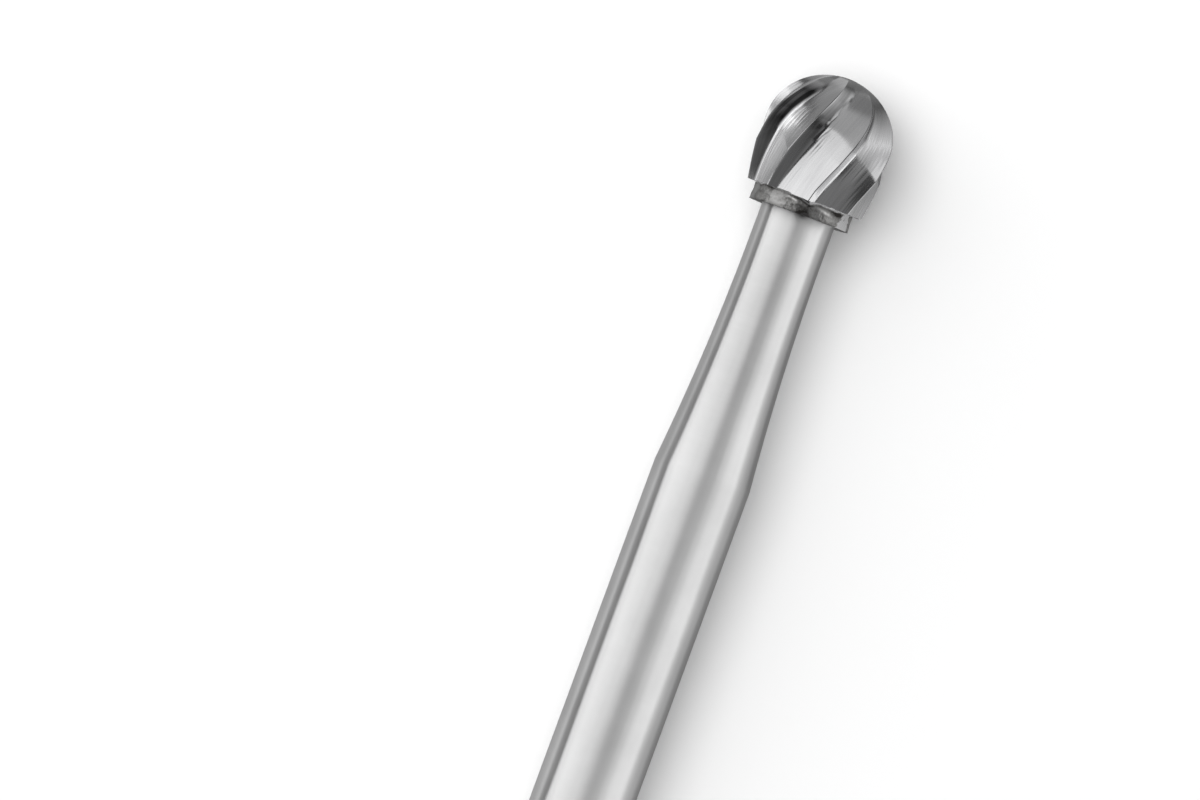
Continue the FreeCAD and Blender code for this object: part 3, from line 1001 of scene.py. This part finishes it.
@dataclass
class BrazeCollar:
    """The mottled joint between the ball's flat base and the neck.

    Attributes:
        head: The ball in front of it, whose blades the ground patches follow.
        radius: Radius at the rims.
        length: Length along the axis.
        waist: How far the side sinks between the rims.
        ground_depth: How far a ground patch lies under the rim.
        ground_lead: How far round from each edge a ground patch lies, in radians.
        ground_reach: Half width that a ground patch may have, in radians.
        ground_soft: Softness of its border, as a difference in radius.
        relief: Height of the lumps, in millimetres.
        rim_relief: Share of the lumps that is left at the rims.
        rim: Length beside each rim over which the lumps fade, as a share of the collar's.
        lip: How far the bare metal that runs down from the ball stands over the braze.
        lip_reach: How far down from the lip the braze rises back to its height.
        lip_soft: Softness of the bare metal's border.
        spill: How far the bare metal reaches past the ball's rim, and how ragged it is.
        spills: Where it reaches further: middle and width in degrees, and how far.
        tone: Usual tone of the braze.
        rear_tone: Tone that is lost at the rear rim, and over what share of the length.
        lip_painted_shadow: Tone that is lost in the painted shadow line under the lip, its middle
        and its half width.
        polish: How clean each ground patch is, from the one under the first edge on.
        patches: Its lighter and darker patches.
        end_rings: Rings on the two end faces, from the middle out, as shares of the rims.
        columns: Steps round the collar.
        rows: Steps along it.
        seed: Seed of the lumps.
    """

    head: CuttingHead
    radius: float = 1.215
    length: float = 0.43
    waist: float = 0.012
    ground_depth: float = 0.034
    ground_lead: float = math.radians(15.5)
    ground_reach: float = 0.22
    ground_soft: float = 0.0012
    relief: float = 0.012
    rim_relief: float = 0.35
    rim: float = 0.08
    lip: float = 0.006
    lip_reach: float = 0.12
    lip_soft: float = 0.004
    spill: Span = (0.012, 0.016)
    spills: tuple[Hump, ...] = ((30.0, 30.0, 0.02), (8.0, 8.0, 0.035))
    tone: float = 0.25
    rear_tone: Span = (0.12, 0.1)
    lip_painted_shadow: tuple[float, float, float] = (0.14, 0.03, 0.022)
    polish: tuple[float, ...] = (0.1, 1.0, 0.5, 0.3, 0.6, 0.4, 0.3, 0.12)
    patches: tuple[Patch, ...] = (
        Patch(-57.0, 0.22, 4.0, 0.04, -0.10),
        Patch(-44.0, 0.08, 9.0, 0.04, -0.12),
        Patch(-33.0, 0.235, 9.0, 0.06, 0.12),
        Patch(-28.0, 0.335, 14.0, 0.03, 0.12),
        Patch(-11.0, 0.15, 5.0, 0.022, 0.55, 0.004),
        Patch(-19.0, 0.10, 5.0, 0.03, -0.15),
        Patch(7.0, 0.27, 12.0, 0.12, -0.12),
        Patch(5.5, 0.40, 8.0, 0.07, -0.40),
        Patch(28.0, 0.20, 8.0, 0.030, 0.60, 0.004),
        Patch(46.0, 0.15, 7.0, 0.045, -0.35),
        Patch(36.0, 0.33, 12.0, 0.05, 0.10),
        Patch(165.0, 0.25, 30.0, 0.12, -0.10),
        Patch(-120.0, 0.32, 16.0, 0.08, -0.12),
    )
    end_rings: tuple[float, ...] = (0.55, 0.8, 0.95)
    columns: int = 900
    rows: int = 56
    seed: int = 7

    def ragged_edge(self, angle: Array) -> Array:
        """How far down the collar the bright metal of the ball reaches.

        It is a little everywhere, more on the upper right, most at one chipped tongue near the
        top, and ragged by small random steps.

        Args:
            angle: Angles of the columns, in radians.

        Returns:
            Lengths in millimetres.
        """
        steps = mottle(2, self.columns, cells=(1, 36), octaves=4, seed=self.seed + 1)[0]
        even, ragged = self.spill
        return add_humps(self.head.skirt(angle) + even + ragged * steps, angle, self.spills)

    def lumpy_side(self, share: Array, below: Array, bared: Array) -> Array:
        """Radius of the side before it is ground.

        The side bows in to a waist, lumps sink it further, less at the rims and not at all under
        bare metal, and the braze lies lower than the lip and rises evenly below it.

        Args:
            share: Places along the collar, from 0 to 1.
            below: Distances behind the bare metal's edge.
            bared: Where bare metal shows, from 0 to 1.

        Returns:
            Radii in millimetres.
        """
        usual = 0.9
        lumps = mottle(self.rows, self.columns, cells=(4, 60), octaves=4, seed=self.seed)
        side = self.radius - self.waist * (1 - (2 * share - 1) ** 2)
        inside = np.clip(np.minimum(share, 1 - share) / self.rim, 0, 1)
        lumpy = self.relief * (usual + lumps) * (self.rim_relief + (1 - self.rim_relief) * inside)
        lower = self.lip * (1 - bared) * np.clip(1 - below / self.lip_reach, 0, 1)
        return side - lumpy * (1 - bared) - lower

    def grind(self, angle: Array, down: Array, radius: Array) -> tuple[Array, Array]:
        """Cut the flats that the wheel left where it ran out over the collar.

        Each flat is a chord that follows the ball's helix, and it shows where it lies under the
        lumpy side.

        Args:
            angle: Angles of the columns, in radians.
            down: Distances behind the ball's base.
            radius: Radii of the lumpy side.

        Returns:
            The ground radii, and how clean the metal is on the flats, from 0 to 1.
        """
        head = self.head
        first = head.twist(head.length + down) + self.ground_lead
        off = (angle - first + head.pitch / 2) % head.pitch - head.pitch / 2
        flat = (self.radius - self.ground_depth) / np.cos(off)
        ground = fade_out(flat - radius, self.ground_soft)
        ground = np.where(np.abs(off) < self.ground_reach, ground, 0)
        number = np.round((angle - first) / head.pitch).astype(int) % head.blades
        cut = np.where(ground > 0, np.minimum(radius, flat), radius)
        return cut, ground * np.array(self.polish)[number]

    def build(self, axis: BurAxis) -> bpy.types.Object:
        """Make the collar and dress it.

        Args:
            axis: The axis of the resting bur.

        Returns:
            The finished piece.
        """
        steps = np.linspace(0, 2 * math.pi, self.columns + 1)[None]
        angle = steps[:, :-1]
        share = np.linspace(0, 1, self.rows)[:, None]
        down = share * self.length
        below = down - self.ragged_edge(angle[0])[None]
        bared = fade_out(below, self.lip_soft)
        radius, clean = self.grind(angle, down, self.lumpy_side(share, below, bared))
        bared = np.maximum(bared, clean)
        tone = self.tone + sum(patch.share(angle, down) for patch in self.patches)
        lost, reach = self.rear_tone
        tone = tone - lost * np.clip(1 - (1 - share) / reach, 0, 1)
        # Painted shadow: a dark line just under the lip of bare metal.
        lost, middle, half = self.lip_painted_shadow
        tone = tone - lost * np.exp(-((below - middle) / half) ** 2)

        rings = np.array(self.end_rings)[:, None]
        ends = np.ones_like(rings)
        radius = np.concatenate([rings * radius[:1], radius, rings[::-1] * radius[-1:]])
        behind = np.concatenate([0 * ends, down, self.length * ends])
        at = np.broadcast_to(self.head.length + behind, radius.shape)
        layers = {name: np.concatenate([ends * part[:1], part, ends * part[-1:]])
                  for name, part in (("bared", bared), ("tone", tone))}
        points = axis.place(at, radius, np.broadcast_to(angle, at.shape))
        first, last = len(rings), len(rings) + self.rows - 1
        skin = Surface(points, run_along(points[:, 0]), self.radius * steps,
                       sharp_rows=(first, last), layers=layers)
        piece = skin.to_object(Piece.COLLAR.value, BRAZE.material())
        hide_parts("braze_collar")
        return piece


@dataclass
class Shank:
    """The steel neck, flare and gripped cylinder.

    Attributes:
        front: Distance from the tip to the neck's front face.
        length: Rear face to tip of the whole bur.
        radius: Radius of the gripped cylinder.
        neck_radius: Radius of the neck.
        neck: Length of the straight neck.
        flare: Length of the flare.
        chamfer: Chamfer at the rear end.
        inner: Radius of the first ring on the front face and the last one on the rear face.
        rows: Rows on neck, flare and cylinder.
        dark_patches: Dark patches on the neck beside the joint, and a faint one on the flare.
        painted_joint_shadow: How dark the painted shadow in the line beside the joint is, and how
        long it takes to fade.
        wave: Usual depth of the waves that polishing left, in millimetres.
        wave_cells: Cells of the waves' coarsest net, along the shank and round it.
        wave_rows: Rows on which the waves are worked out.
        columns: Steps round the shank.
        seed: Seed of the waves.
    """

    front: float
    length: float
    radius: float = 1.175
    neck_radius: float = 0.895
    neck: float = 0.63
    flare: float = 5.79
    chamfer: float = 0.3
    inner: Span = (0.5, 0.4)
    rows: tuple[int, ...] = (40, 90, 80)
    dark_patches: tuple[Patch, ...] = (
        Patch(6.0, 0.0, 8.0, 0.08, 0.80),
        Patch(6.0, 0.0, 30.0, 0.22, 0.12),
        Patch(-60.0, 0.0, 25.0, 0.05, 0.15),
        Patch(-20.0, 3.0, 60.0, 2.5, 0.12),
    )
    painted_joint_shadow: Span = (0.25, 0.02)
    wave: float = 0.003
    wave_cells: tuple[int, int] = (12, 14)
    wave_rows: int = 600
    columns: int = 288
    seed: int = 12

    def profile(self) -> tuple[Array, Array]:
        """The turned profile, from inside the front face to inside the rear face.

        The neck is straight, the flare is an arc that leaves the neck smoothly and meets the
        cylinder at a soft corner, and a chamfer ends the cylinder.

        Returns:
            Distance from the tip and radius of each profile point.
        """
        rise = self.radius - self.neck_radius
        bend = (self.flare ** 2 + rise ** 2) / (2 * rise)
        on_neck, on_flare, on_body = self.rows
        neck = np.linspace(0, self.neck, on_neck)[:-1]
        flare = np.linspace(0, self.flare, on_flare)
        body_front = self.front + self.neck + self.flare
        body = np.linspace(body_front, self.length - self.chamfer, on_body)[1:]
        from_tip = np.concatenate([[self.front], self.front + neck, self.front + self.neck + flare,
                                   body, [self.length, self.length]])
        radius = np.concatenate([
            self.inner[:1], np.full(len(neck), self.neck_radius),
            self.neck_radius + bend - np.sqrt(bend ** 2 - flare ** 2),
            np.full(len(body), self.radius), [self.radius - self.chamfer], self.inner[1:]])
        return from_tip, radius

    def waves(self, from_tip: Array) -> Array:
        """How far the hand-polished skin sinks under the profile: smooth low waves.

        Args:
            from_tip: Distance from the tip of each profile point.

        Returns:
            Depths for each profile point and column, none on the two end faces.
        """
        lift = 1.5
        relief = mottle(self.wave_rows, self.columns, self.wave_cells, octaves=2, seed=self.seed)
        share = (from_tip - self.front) / (self.length - self.front)
        nearest = np.round(share * (self.wave_rows - 1)).astype(int)
        depths = self.wave * (lift + relief[nearest])
        depths[[0, -1]] = 0
        return depths

    def build(self, axis: BurAxis) -> bpy.types.Object:
        """Make the shank and dress it: the profile is carried right round the axis.

        Args:
            axis: The axis of the resting bur.

        Returns:
            The finished piece.
        """
        from_tip, profile = self.profile()
        steps = np.linspace(0, 2 * math.pi, self.columns + 1)[None]
        radius = profile[:, None] - self.waves(from_tip)
        along = np.broadcast_to(from_tip[:, None], radius.shape)
        around = np.broadcast_to(steps[:, :-1], radius.shape)
        rows = len(profile)
        behind = (from_tip - self.front)[:, None]
        stain = sum(patch.share(around, behind) for patch in self.dark_patches)
        # Painted shadow: darkening beside the joint that fades away from it.
        stain = stain + self.painted_joint_shadow[0] * np.exp(-behind / self.painted_joint_shadow[1])
        skin = Surface(axis.place(along, radius, around),
                       run_along(np.stack([from_tip, profile], axis=1)), self.radius * steps,
                       sharp_rows=(1, rows - 3, rows - 2), layers={"stain": stain})
        piece = skin.to_object(Piece.SHANK.value, STEEL.material())
        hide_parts("shank")
        return piece


@dataclass(frozen=True)
class Softbox:
    """One soft light of the studio, as a patch of the sky.

    Attributes:
        side: First and last angle round the bur, in degrees.
        reach: First and last share along the bur, minus one at the shank end.
        strength: Brightness at the first and the last angle.
        side_soft: Half widths of its two edges round the bur, in degrees.
        reach_soft: Half widths of its two edges along the bur.
        slant: How much further round its two edges lie towards the tip, in degrees a unit of
            reach.
    """

    side: Span
    reach: Span
    strength: Span
    side_soft: Span
    reach_soft: Span
    slant: Span = (0.0, 0.0)


@dataclass(frozen=True)
class PieceLamp:
    """A far rectangular lamp that lights one piece of the bur alone.

    Attributes:
        piece: The piece that receives it.
        side: First and last angle round the bur, in degrees.
        reach: First and last share along the bur, minus one at the shank end.
        radiance: Brightness of the lamp's face.
        distance: From the piece to the lamp, in millimetres.
    """

    piece: Piece
    side: Span
    reach: Span
    radiance: float
    distance: float = 400.0

    def build(self, axis: BurAxis) -> None:
        """Make the lamp, square to the line from the middle of its piece.

        Args:
            axis: The axis of the resting bur.
        """
        receiver = bpy.data.objects[self.piece.value]
        corners = np.array([corner[:] for corner in receiver.bound_box])
        middle = Vector((corners.min(axis=0) + corners.max(axis=0)) / 2)
        turn = math.radians(sum(self.side) / 2)
        share = sum(self.reach) / 2
        outward = axis.upward * math.cos(turn) + axis.rightward * math.sin(turn)
        way = axis.forward * share + outward * math.sqrt(1 - share ** 2)
        onward = axis.forward - way * way.dot(axis.forward)
        onward /= np.linalg.norm(onward)
        rise = [math.asin(end) for end in self.reach]
        lamp = bpy.data.lights.new(f"{self.piece.value}_lamp", "AREA")
        lamp.shape = "RECTANGLE"
        lamp.size = 2 * self.distance * MM * math.tan((rise[1] - rise[0]) / 2)
        half_turn = math.radians(self.side[1] - self.side[0]) / 2
        lamp.size_y = 2 * self.distance * MM * math.tan(half_turn) * math.sqrt(1 - share ** 2)
        lamp.energy = self.radiance * math.pi * lamp.size * lamp.size_y
        holder = bpy.data.objects.new(lamp.name, lamp)
        turned = Matrix((onward, np.cross(way, onward), way)).transposed()
        holder.matrix_world = (Matrix.Translation(middle + Vector(way) * self.distance * MM)
                               @ turned.to_4x4())
        holder.visible_camera = False
        link(holder)
        receivers = bpy.data.collections.new(f"{lamp.name}_receivers")
        receivers.objects.link(receiver)
        holder.light_linking.receiver_collection = receivers


@dataclass
class Studio:
    """Pale floor, soft lights and the camera that looks down on the bur.

    Attributes:
        sky: Brightness between the soft lights.
        boxes: The soft lights that all pieces mirror.
        lamps: The lamps that light one piece each.
        camera_sky: Plain brightness of the backdrop beyond the floor.
        floor_size: Side of the floor, in millimetres.
        floor_shade: Colour of the floor, its roughness and its gloss.
        fill_size: Width of the overhead lamp, in metres.
        fill_power: Power of the overhead lamp, in watts.
        fill_place: Where it hangs, in metres.
        pixels_per_mm: Scale of the photo, on its 1200 by 800 frame.
        lean: How far the tip leans to the right in the photo, in degrees.
        tip_pixel: Where the tip is in the photo.
        view_angle: Camera's angle round the bur from straight above, in degrees.
        lens: Focal length, in millimetres.
        sensor: Width of the camera's sensor, in millimetres.
        sight: Nearest and furthest that the camera sees, in metres.
    """

    sky: float = 0.05
    boxes: tuple[Softbox, ...] = (
        Softbox((-88.0, -14.0), (-0.31, 0.05), (1.95, 1.35), (2.5, 2.5), (0.02, 0.01), (0.0, 60.0)),
        Softbox((-88.0, -11.0), (0.05, 0.49), (1.95, 1.35), (2.5, 2.5), (0.01, 0.02), (0.0, 35.0)),
        Softbox((-88.0, -30.0), (0.52, 0.62), (2.0, 2.0), (3.0, 4.0), (0.03, 0.04)),
        Softbox((-88.0, -30.0), (0.62, 0.90), (0.9, 0.9), (3.0, 4.0), (0.04, 0.05)),
        Softbox((-30.0, 14.0), (0.49, 0.96), (0.6, 0.6), (4.0, 8.0), (0.02, 0.02)),
        Softbox((14.0, 62.0), (0.66, 0.94), (0.6, 0.7), (8.0, 5.0), (0.04, 0.03)),
        Softbox((-90.0, 90.0), (-1.1, -0.34), (0.25, 0.25), (3.0, 3.0), (0.1, 0.05)),
        Softbox((36.0, 72.0), (0.30, 0.62), (1.3, 0.9), (5.0, 5.0), (0.05, 0.05)),
        Softbox((56.0, 93.0), (-0.06, 0.90), (0.2, 1.15), (5.0, 4.0), (0.06, 0.05)),
        Softbox((30.0, 60.0), (-0.31, 0.05), (0.26, 0.3), (6.0, 5.0), (0.03, 0.05)),
        Softbox((-122.0, -92.0), (-0.16, 0.60), (0.45, 0.55), (8.0, 3.0), (0.05, 0.1),
                (40.0, 40.0)),
        Softbox((-175.0, -110.0), (-1.1, 0.97), (0.42, 0.42), (4.0, 4.0), (0.1, 0.02)),
        Softbox((-165.0, -112.0), (-1.1, -0.20), (0.8, 0.8), (6.0, 5.0), (0.1, 0.05)),
        Softbox((91.0, 142.0), (-1.1, 0.97), (1.15, 0.0), (3.0, 4.0), (0.1, 0.02)),
        Softbox((118.0, 150.0), (-0.45, -0.04), (0.45, 0.45), (6.0, 6.0), (0.06, 0.03)),
        Softbox((-180.0, -145.0), (0.30, 0.97), (0.2, 0.2), (1.0, 8.0), (0.1, 0.02)),
        Softbox((142.0, 180.0), (-0.50, 0.97), (0.17, 0.25), (8.0, 1.0), (0.1, 0.02)),
        Softbox((-180.0, 180.0), (0.96, 1.2), (0.3, 0.3), (1.0, 1.0), (0.02, 0.02)),
    )
    lamps: tuple[PieceLamp, ...] = (
        PieceLamp(Piece.HEAD, (-102.0, -87.0), (-0.10, 0.32), 1.6),
        PieceLamp(Piece.HEAD, (-102.0, -87.0), (0.32, 0.60), 0.8),
        PieceLamp(Piece.HEAD, (-122.0, -76.0), (-0.50, -0.12), 1.5),
        PieceLamp(Piece.HEAD, (-136.0, -116.0), (-0.12, 0.10), 0.35),
        PieceLamp(Piece.HEAD, (80.0, 154.0), (-0.45, -0.12), 1.05),
        PieceLamp(Piece.HEAD, (118.0, 150.0), (-0.12, 0.12), 0.3),
        PieceLamp(Piece.COLLAR, (38.0, 76.0), (-0.4, 0.4), 0.9),
        PieceLamp(Piece.COLLAR, (112.0, 140.0), (-0.4, 0.4), 0.25),
        PieceLamp(Piece.SHANK, (-72.0, -26.0), (-0.7, 0.7), 0.30),
        PieceLamp(Piece.SHANK, (-26.0, 18.0), (-0.7, 0.7), 0.62),
        PieceLamp(Piece.SHANK, (18.0, 48.0), (-0.7, 0.7), 0.72),
        PieceLamp(Piece.SHANK, (48.0, 90.0), (-0.7, 0.7), 0.95),
    )
    camera_sky: float = 0.88
    floor_size: float = 900.0
    floor_shade: tuple[float, float, float] = (0.9, 0.9, 0.1)
    fill_size: float = 0.24
    fill_power: float = 0.40
    fill_place: tuple[float, float, float] = (0.02, 0.05, 0.24)
    pixels_per_mm: float = 43.15
    lean: float = 20.24
    tip_pixel: Span = (848.6, 78.9)
    view_angle: float = 1.7
    lens: float = 200.0
    sensor: float = 36.0
    sight: Span = (0.01, 10.0)

    def build(self, axis: BurAxis) -> None:
        """Make the floor, the lights and the camera.

        Args:
            axis: The axis of the resting bur.
        """
        self._floor()
        self._sky()
        self._fill()
        for lamp in self.lamps:
            lamp.build(axis)
        self._camera(axis)

    def _floor(self) -> None:
        """Pale matt floor, level with the lowest point of the bur."""
        half = self.floor_size * MM / 2
        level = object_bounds()[0].z
        corners = [(x * half, y * half, level) for x, y in ((-1, -1), (1, -1), (1, 1), (-1, 1))]
        mesh = bpy.data.meshes.new("floor")
        mesh.from_pydata(corners, [], [(0, 1, 2, 3)])
        material, nodes = start_material("pale_floor")
        pale, roughness, gloss = self.floor_shade
        shader = nodes.add("ShaderNodeBsdfPrincipled", Base_Color=(pale, pale, pale, 1.0),
                           Roughness=roughness, Specular_IOR_Level=gloss)
        nodes.add("ShaderNodeOutputMaterial", Surface=shader.outputs[0])
        mesh.materials.append(material)
        floor = bpy.data.objects.new("floor", mesh)
        floor.visible_glossy = False
        floor.visible_shadow = False
        link(floor)
        floor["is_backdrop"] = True

    def _sky(self) -> None:
        """Dim sky with soft bright patches, by the direction of the light alone."""
        world = bpy.data.worlds.new("studio")
        bpy.context.scene.world = world
        world.use_nodes = True
        nodes = Nodes(world.node_tree)
        way = nodes.add("ShaderNodeTexCoord").outputs["Generated"]
        parts = nodes.add("ShaderNodeSeparateXYZ", Vector=way).outputs
        rightward = nodes.math("MULTIPLY", parts[1], -1.0)
        side = nodes.math("MULTIPLY", nodes.math("ARCTAN2", rightward, parts[2]), 180 / math.pi)
        total = nodes.math("ADD", self.sky, 0.0)
        for box in self.boxes:
            turned = [nodes.math("MULTIPLY_ADD", parts[0], -slant, side) for slant in box.slant]
            around = nodes.window(turned, box.side, box.side_soft)
            ahead = nodes.window([parts[0], parts[0]], box.reach, box.reach_soft)
            ramp = nodes.add("ShaderNodeMapRange", i0=side, i1=box.side[0], i2=box.side[1],
                             i3=box.strength[0], i4=box.strength[1]).outputs[0]
            share = nodes.math("MULTIPLY", around, ahead)
            total = nodes.math("MULTIPLY_ADD", share, ramp, total)
        lit, plain = (nodes.add("ShaderNodeBackground", Color=WHITE, Strength=strength).outputs[0]
                      for strength in (total, self.camera_sky))
        seen = nodes.add("ShaderNodeLightPath").outputs["Is Camera Ray"]
        either = nodes.add("ShaderNodeMixShader", i0=seen, i1=lit, i2=plain)
        nodes.add("ShaderNodeOutputWorld", Surface=either.outputs[0])

    def _fill(self) -> None:
        """Broad lamp overhead that only lifts the matt floor and draws its soft shadow."""
        lamp = bpy.data.lights.new("fill", "AREA")
        lamp.shape = "DISK"
        lamp.size = self.fill_size
        lamp.energy = self.fill_power
        fill = bpy.data.objects.new("fill", lamp)
        fill.location = self.fill_place
        fill.rotation_euler = (-fill.location).to_track_quat("-Z", "Y").to_euler()
        fill.visible_glossy = False
        fill.visible_camera = False
        link(fill)

    def _camera(self, axis: BurAxis) -> None:
        """Camera square to the bur's axis, with the tip where the photo has it.

        Args:
            axis: The axis of the resting bur.
        """
        turn = math.radians(self.view_angle)
        away = axis.upward * math.cos(turn) + axis.rightward * math.sin(turn)
        sideways = axis.rightward * math.cos(turn) - axis.upward * math.sin(turn)
        lean = math.radians(self.lean)
        picture_up = axis.forward * math.cos(lean) - sideways * math.sin(lean)
        picture_right = axis.forward * math.sin(lean) + sideways * math.cos(lean)
        tip = axis.rear + axis.forward * axis.length
        right_of_centre = (self.tip_pixel[0] - FRAME[0] / 2) / self.pixels_per_mm
        above_centre = (FRAME[1] / 2 - self.tip_pixel[1]) / self.pixels_per_mm
        target = tip - picture_right * right_of_centre - picture_up * above_centre
        camera = bpy.data.cameras.new("camera")
        camera.lens = self.lens
        camera.sensor_width = self.sensor
        distance = self.lens / self.sensor * FRAME[0] / self.pixels_per_mm
        place = (target + away * distance) * MM
        camera.clip_start, camera.clip_end = self.sight
        holder = bpy.data.objects.new("camera", camera)
        link(holder)
        turned = Matrix((picture_right, picture_up, away)).transposed()
        holder.matrix_world = Matrix.Translation(Vector(place)) @ turned.to_4x4()
        bpy.context.scene.camera = holder
        bpy.context.scene.view_settings.view_transform = "Standard"


def main() -> None:
    """Build the bur from its tip to its rear end, then the studio."""
    logging.basicConfig(level=logging.INFO, format="%(message)s")
    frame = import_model()
    axis = BurAxis.from_record(frame["record"])
    head = CuttingHead()
    collar = BrazeCollar(head)
    shank = Shank(front=head.length + collar.length, length=axis.length)
    for maker in (head, collar, shank):
        piece = maker.build(axis)
        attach(piece, BODY)
        LOG.info("%s: %d faces", piece.name, len(piece.data.polygons))
    Studio().build(axis)


if __name__ == "__main__":
    main()
